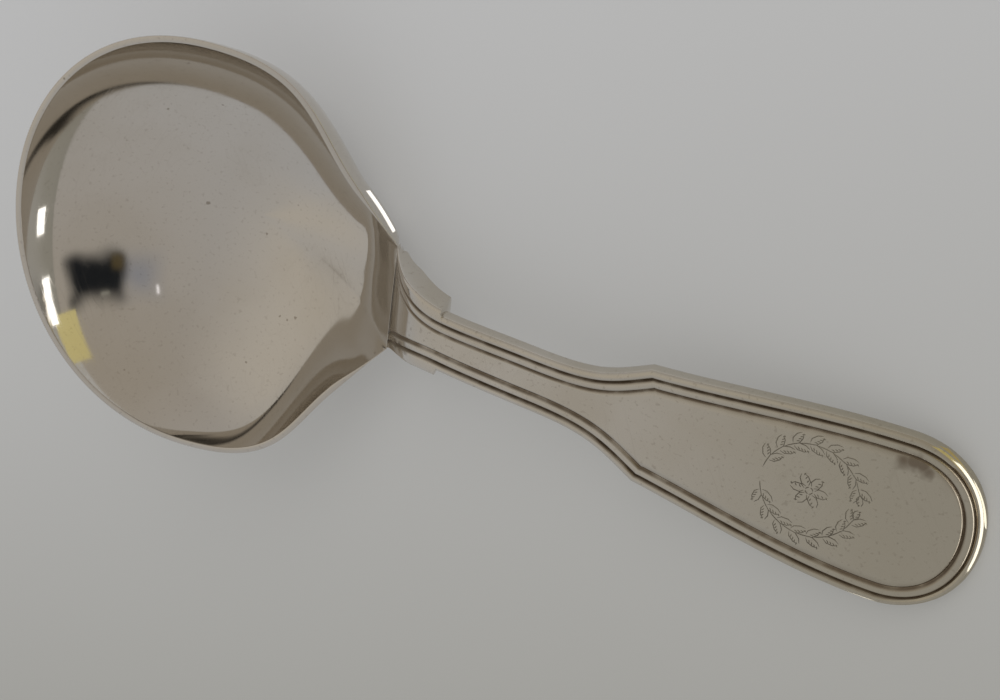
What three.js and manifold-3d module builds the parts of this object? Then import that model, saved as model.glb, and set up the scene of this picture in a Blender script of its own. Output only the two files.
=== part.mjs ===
// Caddy spoon in the fiddle-and-thread pattern: a raised bowl with a struck handle hard-soldered to its back.
// It is drawn with the rim level, x from the bowl's tip to the handle's end and z up out of the bowl, and is
// then laid down as it rests on a table, on the bowl's back and the end of the handle.
import * as THREE from 'three';
import { mergeVertices } from 'three/addons/utils/BufferGeometryUtils.js';
import Module from 'manifold-3d';

const wasm = await Module();
wasm.setup();

// Bowl, in millimetres
const bowlLength = 40.2; // tip to the crease at the root
const bowlWidth = 45.8;
const bowlWidestAt = 19.7; // from the tip
const bowlDeepestAt = 22.2; // from the tip
const bowlDepth = 11.5;
const bowlWall = 0.9;
const rimThickness = 0.65;
const rimFall = 2; // from the widest place of the rim to the root
const shoulderRun = 4.8; // length of the straight shoulder before the root
const shoulderWidth = 23.8; // across the start of the two shoulders
const shoulderHollow = 0.28; // how far the shoulder bends in towards the root
const rootWidth = 11.7; // of the crease where the stem leaves the rim

// Handle
const handleLength = 59.8; // root crease to the end
const rampRise = 5.2; // quick climb of the face behind the crease
const rampRun = 2.65; // length in which two thirds of that climb are done
const handleRise = 10.1; // slow climb from there to the end
const stemSlope = 0.14; // of the slow climb where it starts
const endSlope = 0.03; // of the slow climb at the end
const squareFromRoot = 6.9; // place of the small square shoulders on the stem
const squareStep = 0.65; // how far they stand out
const squareRun = 0.12; // length of their end faces
const stemWidth = 6.1;
const neckFromRoot = 16.3;
const neckWidth = 6.3;
const fiddleFromRoot = 28; // place of the fiddle's corners
const fiddleWidth = 12.2;
const endRun = 8.1; // length of the round end
const endWidth = 17.7; // across the widest place, where the round end starts
const rootThickness = 3.2;
const squareThickness = 2.7; // just before the end faces of the square shoulders
const stemThickness = 1.9;
const endThickness = 1.6;

// Reeded border: a plain band, a groove, a reed and a second groove, counted in from the edge
const bandWidth = 0.93;
const reedWidth = 1.0;
const grooveDepth = 0.24;
const grooveHalfWidth = 0.2;
const reedCrown = 0.1;
const edgeRound = 0.35;

// Drop under the bowl, and the solder round it
const dropLength = 3.4;
const dropWidth = 7.4;
const dropNose = 2; // length of its round nose
const dropNoseWidth = 1.4; // of the blunt tip of the nose
const dropThickness = 1.7;
const dropNoseThickness = 0.4;
const dropBlend = 3; // length in which the drop's back runs into the stem's
const solderWidth = 0.8;
const solderHeight = 0.5;

const jointGap = 0.3; // between the pieces
const restWear = 0.2; // depth of the worn flats that the spoon rests on

// Shares of a curve's run over which it holds its first and its last direction
const frontFullness = [0.53, 0.62];
const cornerFullness = [0.55, 0.39];
const flareFullness = [0.7, 0.4];
const sweepFullness = [0.57, 0.35];
const roundFullness = [0.58, 0.6];
const cornerRise = 0.24; // share of the fiddle's climb that its corner makes steeply
const flareLean = 0.15; // share of the flare's length in which it narrows most
const rimFiling = 10; // power of the bowl's radius by which the wall thins and turns level at the rim
const rimFallPower = 2.4;
const ovalPower = 4; // of the bowl's radius, by which its level lines turn from ovals to the rim's outline
const sideArc = 76; // degrees of an upright ellipse that the bowl's section follows, from its lowest point
const tipArc = 68; // the same, towards the tip
const backShares = { edge: 0.5, round: 0.86, flank: 0.98 }; // of the thickness, across the handle's back

// Numbers of facets
const rimSteps = { front: 14, corner: 12, shoulder: 6, root: 4 };
const bowlRings = 12;
const handleSteps = { nose: 6, drop: 6, flare: 10, stem: 6, sweep: 12, side: 10, end: 14 };

const silver = { color: 0xd8d4cc, roughness: 0.14, metalness: 1 };
const hardSolder = { color: 0xcfc8b8, roughness: 0.3, metalness: 1 };

const bowlHalf = bowlWidth / 2;
const rootHalf = rootWidth / 2;
const stemHalf = stemWidth / 2;
const centreX = bowlDeepestAt;

const { smoothstep, degToRad } = THREE.MathUtils;
const point = (x, y) => new THREE.Vector2(x, y);
const mix = (a, b, t) => a + (b - a) * t;
const curve = (...points) => new THREE.CubicBezierCurve(...points);

// Where a value that rises with x reaches zero
function solve(value, from, to) {
  let low = from;
  let high = to;
  for (let i = 0; i < 40; i += 1) {
    const middle = (low + high) / 2;
    if (value(middle) < 0) low = middle;
    else high = middle;
  }
  return low;
}

// Half of the rim in plan, from the tip round to the middle of the root
function rimOutline() {
  const wide = point(bowlWidestAt, bowlHalf);
  const corner = point(bowlLength - shoulderRun, shoulderWidth / 2);
  const root = point(bowlLength, rootHalf);
  const along = root.clone().sub(corner);
  const reach = corner.distanceTo(wide);
  const front = curve(
    point(0, 0),
    point(0, frontFullness[0] * bowlHalf),
    point(bowlWidestAt * (1 - frontFullness[1]), bowlHalf),
    wide,
  );
  const back = curve(
    wide,
    point(bowlWidestAt + cornerFullness[0] * reach, bowlHalf),
    corner.clone().addScaledVector(along.clone().normalize(), -cornerFullness[1] * reach),
    corner,
  );
  const shoulder = curve(
    corner,
    corner.clone().addScaledVector(along, 1 / 3),
    corner.clone().addScaledVector(along, 2 / 3).add(point(0, -shoulderHollow)),
    root,
  );
  const crease = new THREE.LineCurve(root, point(bowlLength, 0));
  return [
    ...front.getPoints(rimSteps.front),
    ...back.getPoints(rimSteps.corner).slice(1),
    ...shoulder.getPoints(rimSteps.shoulder).slice(1),
    ...crease.getPoints(rimSteps.root).slice(1),
  ];
}

// The rim's inner edge seen from the bowl's middle: angle from the handle's direction, and distance
const rimPolar = rimOutline().map((p) => ({
  angle: Math.atan2(p.y, p.x - centreX),
  radius: Math.hypot(p.x - centreX, p.y) - rimThickness,
}));

function rimRadius(angle) {
  const turn = Math.abs(angle);
  const next = rimPolar.findIndex((p) => p.angle <= turn);
  if (next <= 0) return rimPolar[0].radius;
  const a = rimPolar[next - 1];
  const b = rimPolar[next];
  return mix(a.radius, b.radius, (a.angle - turn) / (a.angle - b.angle));
}

// The bowl's level lines are the rim at the edge and grow rounder, towards an oval, further in
function levelRadius(angle, share) {
  const reach = Math.cos(angle) > 0 ? bowlLength - centreX : centreX;
  const oval = 1 / Math.hypot(
    Math.cos(angle) / (reach - rimThickness),
    Math.sin(angle) / (bowlHalf - rimThickness),
  );
  return share * mix(oval, rimRadius(angle), Math.min(1, share) ** ovalPower);
}

// Height of the bowl's section over its lowest point, as a share of the depth; past the rim it runs straight on
function sectionHeight(angle, share) {
  const arc = degToRad(mix(sideArc, tipArc, Math.max(0, -Math.cos(angle)) ** 2));
  const [sine, cosine] = [Math.sin(arc), Math.cos(arc)];
  const rimRate = sine ** 2 / cosine;
  const height = 1 - Math.sqrt(1 - (sine * Math.min(1, share)) ** 2) + rimRate * Math.max(0, share - 1);
  return height / (1 - cosine);
}

function rimHeight(angle) {
  const behind = centreX + rimRadius(angle) * Math.cos(angle) - bowlWidestAt;
  return -rimFall * Math.max(0, behind / (bowlLength - bowlWidestAt)) ** rimFallPower;
}

function innerPoint(angle, share) {
  const r = levelRadius(angle, share);
  const height = sectionHeight(angle, share);
  const z = bowlDepth * (height - 1) + rimHeight(angle) * share ** 2 * height;
  return new THREE.Vector3(centreX + r * Math.cos(angle), r * Math.sin(angle), z);
}

// Direction through the wall to the bowl's back: square to the inner surface, and level at the filed rim
const tiny = 1e-4;
function backNormal(angle, share) {
  const across = innerPoint(angle + tiny, share).sub(innerPoint(angle - tiny, share));
  const outward = innerPoint(angle, share + tiny).sub(innerPoint(angle, share - tiny));
  return across.cross(outward).normalize();
}

function wallDirection(angle, share) {
  const direction = backNormal(angle, share);
  direction.z *= 1 - Math.min(1, share) ** rimFiling;
  return direction.normalize();
}

function wallAt(share) {
  return mix(bowlWall, rimThickness, Math.min(1, share) ** rimFiling);
}

// A point of the bowl's back, moved off it by the given distance
function backPoint(angle, share, off) {
  return innerPoint(angle, share).addScaledVector(wallDirection(angle, share), wallAt(share) + off);
}

// The place on the bowl that lies over a point of the plan
function placeAt(x, y) {
  const angle = Math.atan2(y, x - centreX);
  const radius = Math.hypot(x - centreX, y);
  return { angle, share: solve((share) => levelRadius(angle, share) - radius, 0, 2) };
}

// Height of the bowl's back over a point of the plan, or of a surface at a distance from it
function backHeight(x, y, off = 0) {
  const { angle, share } = placeAt(x, y);
  return innerPoint(angle, share).z + (bowlWall + off) / backNormal(angle, share).z;
}

// Closed mesh through a row of closed loops with as many points each, with its ends capped where asked
function loft(loops, capStart, capEnd) {
  const count = loops[0].length;
  const positions = loops.flat().flatMap((p) => [p.x, p.y, p.z]);
  const index = [];
  for (let i = 0; i + 1 < loops.length; i += 1) {
    for (let k = 0; k < count; k += 1) {
      const a = i * count + k;
      const b = i * count + ((k + 1) % count);
      index.push(a, a + count, b, b, a + count, b + count);
    }
  }
  const cap = (which, turned) => {
    const middle = loops[which].reduce((sum, p) => sum.add(p), new THREE.Vector3()).divideScalar(count);
    const hub = positions.length / 3;
    positions.push(middle.x, middle.y, middle.z);
    for (let k = 0; k < count; k += 1) {
      const a = which * count + k;
      const b = which * count + ((k + 1) % count);
      index.push(...(turned ? [hub, a, b] : [hub, b, a]));
    }
  };
  if (capStart) cap(0, true);
  if (capEnd) cap(loops.length - 1, false);
  const geometry = new THREE.BufferGeometry();
  geometry.setAttribute('position', new THREE.Float32BufferAttribute(positions, 3));
  geometry.setIndex(index);
  return geometry;
}

function solidOf(geometry) {
  const bare = geometry.clone();
  bare.deleteAttribute('normal');
  bare.deleteAttribute('uv');
  const merged = mergeVertices(bare, tiny);
  const corners = merged.index.array;
  const kept = [];
  for (let i = 0; i < corners.length; i += 3) {
    const [a, b, c] = corners.slice(i, i + 3);
    if (a !== b && b !== c && c !== a) kept.push(a, b, c);
  }
  return new wasm.Manifold(new wasm.Mesh({
    numProp: 3,
    vertProperties: new Float32Array(merged.attributes.position.array),
    triVerts: new Uint32Array(kept),
  }));
}

function geometryOf(solid) {
  const mesh = solid.getMesh();
  const geometry = new THREE.BufferGeometry();
  geometry.setAttribute('position', new THREE.Float32BufferAttribute(mesh.vertProperties, 3));
  geometry.setIndex(Array.from(mesh.triVerts));
  geometry.computeVertexNormals();
  return geometry;
}

// Angles all the way round the bowl, through each corner of the rim, and rings that close up at the rim
const ringAngles = [
  ...rimPolar.map((p) => -p.angle),
  ...rimPolar.slice(1, -1).reverse().map((p) => p.angle),
];
const ringShares = Array.from({ length: bowlRings }, (_, i) => Math.sin(((i + 1) / bowlRings) * Math.PI / 2));
const rings = (place) => ringShares.map((share) => ringAngles.map((angle) => place(angle, share)));

function bowlShell() {
  const outer = rings((angle, share) => backPoint(angle, share, 0));
  return loft([...rings(innerPoint), ...outer.reverse()], true, true);
}

// Everything inside the bowl's back and above it, which the handle is cut away by
function bowlSpace() {
  const outer = rings((angle, share) => backPoint(angle, share, jointGap));
  const top = outer.at(-1).map((p) => new THREE.Vector3(p.x, p.y, rampRise + handleRise));
  return loft([top, ...outer.reverse()], true, true);
}

// Height of the handle's face at a distance behind the crease
const crestHeight = rimHeight(0);
function faceHeight(s) {
  const run = Math.max(0, s - jointGap);
  const whole = handleLength - jointGap;
  const t = run / whole;
  const slow = handleRise * (3 * t ** 2 - 2 * t ** 3)
    + whole * (stemSlope * (t ** 3 - 2 * t ** 2 + t) + endSlope * (t ** 3 - t ** 2));
  return crestHeight + rampRise * (1 - Math.exp(-run / rampRun)) + slow;
}

function thicknessAt(s) {
  if (s <= squareFromRoot) return mix(rootThickness, squareThickness, Math.max(0, s) / squareFromRoot);
  return mix(stemThickness, endThickness, (s - squareFromRoot) / (handleLength - squareFromRoot));
}

function dropThicknessAt(s) {
  return mix(dropNoseThickness, dropThickness, smoothstep(s, -dropLength, 0));
}

// Rows across the handle: distance in from the edge, with the height over the face or the share of the thickness
const reedStart = bandWidth;
const reedEnd = bandWidth + reedWidth;
const panelEdge = reedEnd + grooveHalfWidth;
const faceRows = [
  { inset: edgeRound / 3, lift: -edgeRound / 2 },
  { inset: bandWidth / 2, lift: reedCrown / 2 },
  { inset: reedStart - grooveHalfWidth, lift: 0 },
  { inset: reedStart, lift: -grooveDepth },
  { inset: reedStart + grooveHalfWidth, lift: 0 },
  { inset: (reedStart + reedEnd) / 2, lift: reedCrown },
  { inset: reedEnd - grooveHalfWidth, lift: 0 },
  { inset: reedEnd, lift: -grooveDepth },
  { inset: panelEdge, lift: 0 },
];
const backRows = [
  { inset: edgeRound, share: backShares.round },
  { inset: 3 * edgeRound, share: backShares.flank },
];

// Half of the handle's plan as stations: a place on the edge, the direction in from it, how much the border's
// distances stretch there, and how far a square shoulder stands out. x counts from the crease at the root
function straightStations() {
  const noseEnd = dropNose - dropLength;
  const dropHalf = dropWidth / 2;
  const noseHalf = dropNoseWidth / 2;
  const nose = curve(
    point(-dropLength, noseHalf),
    point(-dropLength, mix(noseHalf, dropHalf, roundFullness[0])),
    point(noseEnd - roundFullness[1] * dropNose, dropHalf),
    point(noseEnd, dropHalf),
  );
  const drop = curve(
    point(noseEnd, dropHalf),
    point(noseEnd * (1 - flareFullness[1]), dropHalf),
    point(noseEnd * flareLean, mix(rootHalf, dropHalf, flareFullness[0])),
    point(0, rootHalf),
  );
  const flare = curve(
    point(0, rootHalf),
    point(squareFromRoot * flareLean, mix(rootHalf, stemHalf, flareFullness[0])),
    point(squareFromRoot * (1 - flareFullness[1]), stemHalf),
    point(squareFromRoot, stemHalf),
  );
  const stemStart = point(squareFromRoot + squareRun, stemHalf);
  const neck = point(neckFromRoot, neckWidth / 2);
  const stem = curve(
    stemStart,
    point(mix(stemStart.x, neck.x, 1 / 3), stemStart.y),
    point(mix(stemStart.x, neck.x, 2 / 3), neck.y),
    neck,
  );
  const inward = point(0, -1);
  const squareGrows = squareFromRoot * (1 - flareFullness[1]);
  const under = [...nose.getPoints(handleSteps.nose), ...drop.getPoints(handleSteps.drop).slice(1)];
  return [
    ...under.map((place) => ({ place, inward, stretch: place.y / rootHalf, ledge: 0 })),
    ...flare.getPoints(handleSteps.flare).slice(1).map((place) => (
      { place, inward, stretch: 1, ledge: squareStep * smoothstep(place.x, 0, squareGrows) })),
    ...stem.getPoints(handleSteps.stem).map((place) => ({ place, inward, stretch: 1, ledge: 0 })),
  ];
}

function fiddleStations() {
  const neck = point(neckFromRoot, neckWidth / 2);
  const corner = point(fiddleFromRoot, fiddleWidth / 2);
  const widest = point(handleLength - endRun, endWidth / 2);
  const sweep = curve(
    neck,
    point(mix(neck.x, corner.x, sweepFullness[0]), neck.y),
    point(mix(corner.x, neck.x, sweepFullness[1]), mix(neck.y, corner.y, cornerRise)),
    corner,
  );
  const side = curve(
    corner,
    corner.clone().lerp(widest, 1 / 3),
    point(mix(corner.x, widest.x, 2 / 3), widest.y),
    widest,
  );
  const end = curve(
    widest,
    point(widest.x + roundFullness[0] * endRun, widest.y),
    point(handleLength, roundFullness[1] * widest.y),
    point(handleLength, 0),
  );
  const outline = [
    ...sweep.getPoints(handleSteps.sweep),
    ...side.getPoints(handleSteps.side).slice(1),
    ...end.getPoints(handleSteps.end).slice(1),
  ];
  const tip = outline.length - 1;
  return outline.slice(1).map((place, i) => {
    if (i + 1 === tip) return { place, inward: point(-1, 0), stretch: 1, ledge: 0 };
    const before = place.clone().sub(outline[i]).normalize();
    const after = outline[i + 2].clone().sub(place).normalize();
    const along = before.clone().add(after).normalize();
    return { place, inward: point(along.y, -along.x), stretch: 1 / along.dot(after), ledge: 0 };
  });
}

// Closed section of the handle at a station, from the middle of the face round by +y and back by -y
function handleLoop({ place, inward, stretch, ledge }) {
  const s = place.x;
  const underBowl = s < 0;
  const stemShare = smoothstep(s, -dropBlend / 2, dropBlend);
  const plan = (inset, step) => place.clone().addScaledVector(inward, inset * stretch).add(point(0, step));
  const solidPoint = (p, z) => new THREE.Vector3(bowlLength + p.x, Math.max(0, p.y), z);
  const onFace = (p, lift) => {
    const insideWall = backHeight(bowlLength + p.x, p.y) + bowlWall / 2;
    return solidPoint(p, underBowl ? insideWall : faceHeight(p.x) + lift);
  };
  const onBack = (p, share) => {
    const dropZ = backHeight(bowlLength + p.x, p.y) - share * dropThicknessAt(p.x);
    const stemZ = faceHeight(p.x) - share * thicknessAt(s);
    return solidPoint(p, mix(dropZ, stemZ, stemShare));
  };
  const edge = plan(0, ledge);
  const panel = plan(panelEdge, 0);
  const [edgeRow, ...innerRows] = faceRows;
  const half = [
    onFace(point(panel.x, panel.y / 2), 0),
    ...innerRows.map((row) => onFace(plan(row.inset, 0), row.lift)).reverse(),
    onFace(plan(edgeRow.inset, ledge), edgeRow.lift),
    underBowl ? onFace(edge, 0) : onBack(edge, backShares.edge),
    ...backRows.map((row) => onBack(plan(row.inset, ledge), row.share)),
  ];
  const mirrored = half.map((p) => new THREE.Vector3(p.x, -p.y, p.z)).reverse();
  const backMiddle = point(plan(backRows.at(-1).inset, 0).x, 0);
  return [onFace(point(panel.x, 0), 0), ...half, onBack(backMiddle, 1), ...mirrored];
}

function handleBlank() {
  return loft([...straightStations(), ...fiddleStations()].map(handleLoop), true, false);
}

// Solder: a fillet along the drop's outline on the bowl's back, clear of both
function solderFillet() {
  const side = straightStations().map(({ place }) => place).filter((p) => p.x < -jointGap - solderWidth);
  const path = [...side.map((p) => point(p.x, -p.y)).reverse(), ...side];
  const loops = path.map((p, i) => {
    const before = path[Math.max(0, i - 1)];
    const after = path[Math.min(path.length - 1, i + 1)];
    const along = after.clone().sub(before).normalize();
    const outward = point(-along.y, along.x);
    const at = (out, height) => {
      const plan = p.clone().addScaledVector(outward, jointGap + out);
      const x = bowlLength + plan.x;
      return new THREE.Vector3(x, plan.y, backHeight(x, plan.y, jointGap + height));
    };
    return [at(0, 0), at(solderWidth, 0), at(solderWidth / 3, solderHeight / 3), at(0, solderHeight)];
  });
  return loft(loops, true, true);
}

const drawn = {
  bowl: solidOf(bowlShell()),
  handle: solidOf(handleBlank()).subtract(solidOf(bowlSpace())),
  solder_seam: solidOf(solderFillet()),
};

// Lay the spoon down: turn it until the bowl's back and the end of the handle are equally low, then wear both
// flat there. The origin is the middle of the flat on the bowl
function cornersOf(solid) {
  const { vertProperties } = solid.getMesh();
  return Array.from({ length: vertProperties.length / 3 }, (_, i) => (
    new THREE.Vector3().fromArray(vertProperties, 3 * i)));
}

const corners = Object.values(drawn).flatMap(cornersOf);
const halfway = bowlLength + neckFromRoot;
const front = corners.filter((p) => p.x < halfway);
const rear = corners.filter((p) => p.x > halfway);

function lowest(points, tilt) {
  const heights = points.map((p) => p.z * Math.cos(tilt) - p.x * Math.sin(tilt));
  return heights.reduce((a, b) => Math.min(a, b));
}

const restTilt = solve((tilt) => lowest(front, tilt) - lowest(rear, tilt), 0, Math.PI / 4);
const restPlane = lowest(front, restTilt) + restWear;
const layDown = new THREE.Matrix4().makeRotationY(restTilt).setPosition(0, 0, -restPlane);
const tableSize = 4 * (bowlLength + handleLength);
const table = solidOf(new THREE.BoxGeometry(tableSize, tableSize, tableSize).translate(0, 0, -tableSize / 2));
const laid = Object.entries(drawn).map(([name, solid]) => (
  [name, solidOf(geometryOf(solid).applyMatrix4(layDown)).subtract(table)]));

const [, laidBowl] = laid[0];
const bowlFlat = new THREE.Box3().setFromPoints(cornersOf(laidBowl).filter((p) => p.z < tiny));

const group = new THREE.Group();
group.position.x = -(bowlFlat.min.x + bowlFlat.max.x) / 2;
for (const [name, solid] of laid) {
  const finish = name === 'solder_seam' ? hardSolder : silver;
  const mesh = new THREE.Mesh(geometryOf(solid), new THREE.MeshStandardMaterial(finish));
  mesh.name = name;
  group.add(mesh);
}

export default group;
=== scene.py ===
import bisect
import functools
import math

import bpy
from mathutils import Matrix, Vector


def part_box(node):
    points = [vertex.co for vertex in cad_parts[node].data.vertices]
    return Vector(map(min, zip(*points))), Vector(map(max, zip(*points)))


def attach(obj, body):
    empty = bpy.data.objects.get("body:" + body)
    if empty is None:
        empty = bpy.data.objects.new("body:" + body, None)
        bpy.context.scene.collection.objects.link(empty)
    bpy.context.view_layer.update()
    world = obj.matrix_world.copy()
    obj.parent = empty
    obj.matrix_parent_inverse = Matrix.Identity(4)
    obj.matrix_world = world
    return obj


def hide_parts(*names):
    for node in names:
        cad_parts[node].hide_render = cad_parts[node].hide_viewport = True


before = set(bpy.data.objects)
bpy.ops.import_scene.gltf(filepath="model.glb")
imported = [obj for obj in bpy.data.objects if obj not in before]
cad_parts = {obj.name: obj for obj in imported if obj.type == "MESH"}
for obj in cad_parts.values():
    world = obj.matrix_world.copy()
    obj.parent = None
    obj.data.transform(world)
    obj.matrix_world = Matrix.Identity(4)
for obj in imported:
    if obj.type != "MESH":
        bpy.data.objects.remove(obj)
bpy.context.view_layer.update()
print("frame loaded:", ", ".join(sorted(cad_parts)))

millimetre = 0.001
weld, fineWeld = 1e-6, 1e-7  # points nearer than this, in metres, become one
bowlLow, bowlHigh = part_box("bowl")

# Sizes are millimetres, drawn with the rim level: x runs from the bowl's tip to the handle's end, and z up
# out of the bowl
spoon = {
    "tip": Vector((bowlLow.x, 0, bowlHigh.z)),  # where the bowl's tip is in the frame
    "restTilt": math.radians(18.31),  # how far the rim leans back as the spoon lies on a table
}


def mix(a, b, t):
    return a + (b - a) * t


def smooth(value, start, end):
    t = min(1, max(0, (value - start) / (end - start)))
    return t * t * (3 - 2 * t)


def curve(points, steps):
    a, b, c, d = (Vector(p) for p in points)
    times = [i / steps for i in range(steps + 1)]
    return [a * (1 - t) ** 3 + b * 3 * t * (1 - t) ** 2 + c * 3 * t * t * (1 - t) + d * t**3 for t in times]


# A place of the drawing, laid down as the spoon rests
def laidDown(x, y, z):
    sine, cosine = math.sin(spoon["restTilt"]), math.cos(spoon["restTilt"])
    return spoon["tip"] + Vector((x * cosine + z * sine, y, z * cosine - x * sine)) * millimetre


def selectOnly(piece):
    bpy.ops.object.select_all(action="DESELECT")
    piece.select_set(True)
    bpy.context.view_layer.objects.active = piece


# Points that meet become one, and faces point outwards
def welded(piece, within):
    selectOnly(piece)
    bpy.ops.object.mode_set(mode="EDIT")
    bpy.ops.mesh.select_all(action="SELECT")
    bpy.ops.mesh.remove_doubles(threshold=within)
    bpy.ops.mesh.normals_make_consistent(inside=False)
    bpy.ops.object.mode_set(mode="OBJECT")


# A flat grid whose points go to their places on the piece, closed where they meet
def shapedGrid(name, columns, rows, place, patina=None):
    bpy.ops.object.select_all(action="DESELECT")
    bpy.ops.mesh.primitive_grid_add(x_subdivisions=columns, y_subdivisions=rows, size=1)
    piece = bpy.context.object
    piece.name = piece.data.name = name
    dark = piece.data.attributes.new("patina", "FLOAT", "POINT")
    for vertex in piece.data.vertices:
        column, row = round((vertex.co.x + 0.5) * columns), round((vertex.co.y + 0.5) * rows)
        vertex.co = place(column, row)
        dark.data[vertex.index].value = patina(column, row) if patina else 0
    welded(piece, weld)
    return piece


# Cut away what would stand below the table, which leaves the worn flat
def wornFlat(piece):
    selectOnly(piece)
    bpy.ops.object.mode_set(mode="EDIT")
    bpy.ops.mesh.select_all(action="SELECT")
    bpy.ops.mesh.bisect(
        plane_co=(0, 0, 0), plane_no=(0, 0, 1), threshold=fineWeld, use_fill=True, clear_inner=True
    )
    bpy.ops.object.mode_set(mode="OBJECT")


def closedEnds(piece):
    selectOnly(piece)
    bpy.ops.object.mode_set(mode="EDIT")
    bpy.ops.mesh.select_all(action="DESELECT")
    bpy.ops.mesh.select_non_manifold()
    bpy.ops.mesh.fill_holes(sides=0)
    bpy.ops.mesh.select_all(action="SELECT")
    bpy.ops.mesh.normals_make_consistent(inside=False)
    bpy.ops.object.mode_set(mode="OBJECT")


def smoothShaded(piece, degrees):
    selectOnly(piece)
    bpy.ops.object.shade_smooth_by_angle(angle=math.radians(degrees))


def onFrame(piece, node):
    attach(piece, "root")
    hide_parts(node)


# Bowl: one raised sheet with a filed rim
bowl = {
    "length": 40.2,  # tip to the crease at the root
    "width": 45.8,
    "widestAt": 19.7,
    "deepestAt": 22.2,
    "depth": 11.5,
    "wall": 0.9,
    "rim": 0.65,  # thickness there
    "rootRim": 0.04,  # at the crease, where it runs out
    "heel": 1.0,  # more thickness under the root's corners, none under the drop between them
    "heelFrom": (0.6, 0.9),
    "heelSides": (0.225, 0.34),
    "rimFall": 2,  # from the widest place to the root
    "rimFallPower": 2.4,
    "lipRound": 0.12,  # height of the rim's rounded edge
    "lipStart": 0.25,  # how far short of the rim it starts, as a share of that height
    "lipPower": 0.6,  # less makes the edge squarer
    "shoulderRun": 4.8,
    "shoulderWidth": 23.8,
    "shoulderHollow": 0.28,
    "rootWidth": 11.7,
    "frontFullness": (0.53, 0.62),
    "cornerFullness": (0.55, 0.39),
    "ovalPower": 4,  # by which the level lines turn from ovals to the rim's outline
    "cornerPower": 21,  # by which they take its corners
    "cornerSoft": math.radians(16),  # turn to each side that rounds the corners off inside
    "softSteps": 8,
    "softSpan": 0.98,  # share of a cosine's half wave that weighs that turn
    "filing": 10,  # power by which the wall thins and turns level at the rim
    "sideArc": math.radians(76),
    "tipArc": math.radians(68),
    "rootArc": math.radians(79),
    "rootShare": 0.764,  # how much the section at the root is its own: a long slope and a short upturn
    "rootFocus": 11.7,
    "rootPower": 1.74,
    "upturn": 0.243,
    "upturnPower": 19,
    "upturnFocus": (10.5, 3.1),  # the hammered upturn reaches further round on one side
    "upturnTurn": 0.3,  # sine of the turn in which that side takes over from the other
    "easedFrom": 0.76,  # where the wall turns straighter at the root
    "easedSlope": 2.9,
    "easedReach": ((1.75, 0.55), (1.5, 0.5)),  # where it starts and is whole on each side, in crease angles
    "easedTurn": 0.1,
    "rimSteps": (60, 44, 22, 14),  # front, corner, shoulder, root
    "rings": 64,
    "lipSteps": 10,
    "backRings": 36,
    "searchTo": 2,  # largest share tried, and halvings, to find a place on the back
    "searchSteps": 30,
    "smoothBelow": 50,  # degrees
}


def rimOutline():
    half, reachAt = bowl["width"] / 2, bowl["widestAt"]
    wide = Vector((reachAt, half))
    corner = Vector((bowl["length"] - bowl["shoulderRun"], bowl["shoulderWidth"] / 2))
    root = Vector((bowl["length"], bowl["rootWidth"] / 2))
    along = root - corner
    reach = (corner - wide).length
    front, back = bowl["frontFullness"], bowl["cornerFullness"]
    hollow = Vector((0, -bowl["shoulderHollow"]))
    steps = bowl["rimSteps"]
    cornerIn = corner - along.normalized() * back[1] * reach
    outline = curve([(0, 0), (0, front[0] * half), (reachAt * (1 - front[1]), half), wide], steps[0])
    outline += curve([wide, (reachAt + back[0] * reach, half), cornerIn, corner], steps[1])[1:]
    outline += curve([corner, corner + along / 3, corner + along * 2 / 3 + hollow, root], steps[2])[1:]
    middle = Vector((bowl["length"], 0))
    return outline + curve([root, root.lerp(middle, 1 / 3), root.lerp(middle, 2 / 3), middle], steps[3])[1:]


# The rim's inner edge as seen from the bowl's middle, from the handle's direction round to the tip
fromMiddle = [p - Vector((bowl["deepestAt"], 0)) for p in reversed(rimOutline())]
rimAngles = [math.atan2(p.y, p.x) for p in fromMiddle]
rimRadii = [p.length - bowl["rim"] for p in fromMiddle]


def rimRadius(angle):
    turn = abs((angle + math.pi) % (2 * math.pi) - math.pi)
    after = min(max(1, bisect.bisect(rimAngles, turn)), len(rimAngles) - 1)
    share = (turn - rimAngles[after - 1]) / (rimAngles[after] - rimAngles[after - 1])
    return mix(rimRadii[after - 1], rimRadii[after], share)


def ovalRadius(angle):
    reach = bowl["length"] - bowl["deepestAt"] if math.cos(angle) > 0 else bowl["deepestAt"]
    half = bowl["width"] / 2 - bowl["rim"]
    return 1 / math.hypot(math.cos(angle) / (reach - bowl["rim"]), math.sin(angle) / half)


# Level lines of the sheet, ovals in the middle and the rim's outline at its edge
def levelRadius(angle, share):
    return share * mix(ovalRadius(angle), rimRadius(angle), min(1, share) ** bowl["ovalPower"])


def rimHeight(angle):
    behind = bowl["deepestAt"] + rimRadius(angle) * math.cos(angle) - bowl["widestAt"]
    return -bowl["rimFall"] * max(0, behind / (bowl["length"] - bowl["widestAt"])) ** bowl["rimFallPower"]


# The arc that the sheet is raised to, as height from 0 in the middle to 1 at the rim
def arcHeight(angle, share, rootArc):
    arc = mix(bowl["sideArc"], bowl["tipArc"], max(0, -math.cos(angle)) ** 2)
    arc = mix(arc, rootArc, max(0, math.cos(angle)) ** 2)
    sine, cosine = math.sin(arc), math.cos(arc)
    height = (1 - math.sqrt(1 - (sine * min(1, share)) ** 2)) / (1 - cosine)
    return height + sine**2 / cosine / (1 - cosine) * max(0, share - 1)


def sheetHeight(angle, share, height):
    return bowl["depth"] * (height - 1) + rimHeight(angle) * share**2 * height


def sheetPoint(angle, share):
    radius = levelRadius(angle, share)
    z = sheetHeight(angle, share, arcHeight(angle, share, bowl["sideArc"]))
    return Vector((bowl["deepestAt"] + radius * math.cos(angle), radius * math.sin(angle), z))


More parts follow.
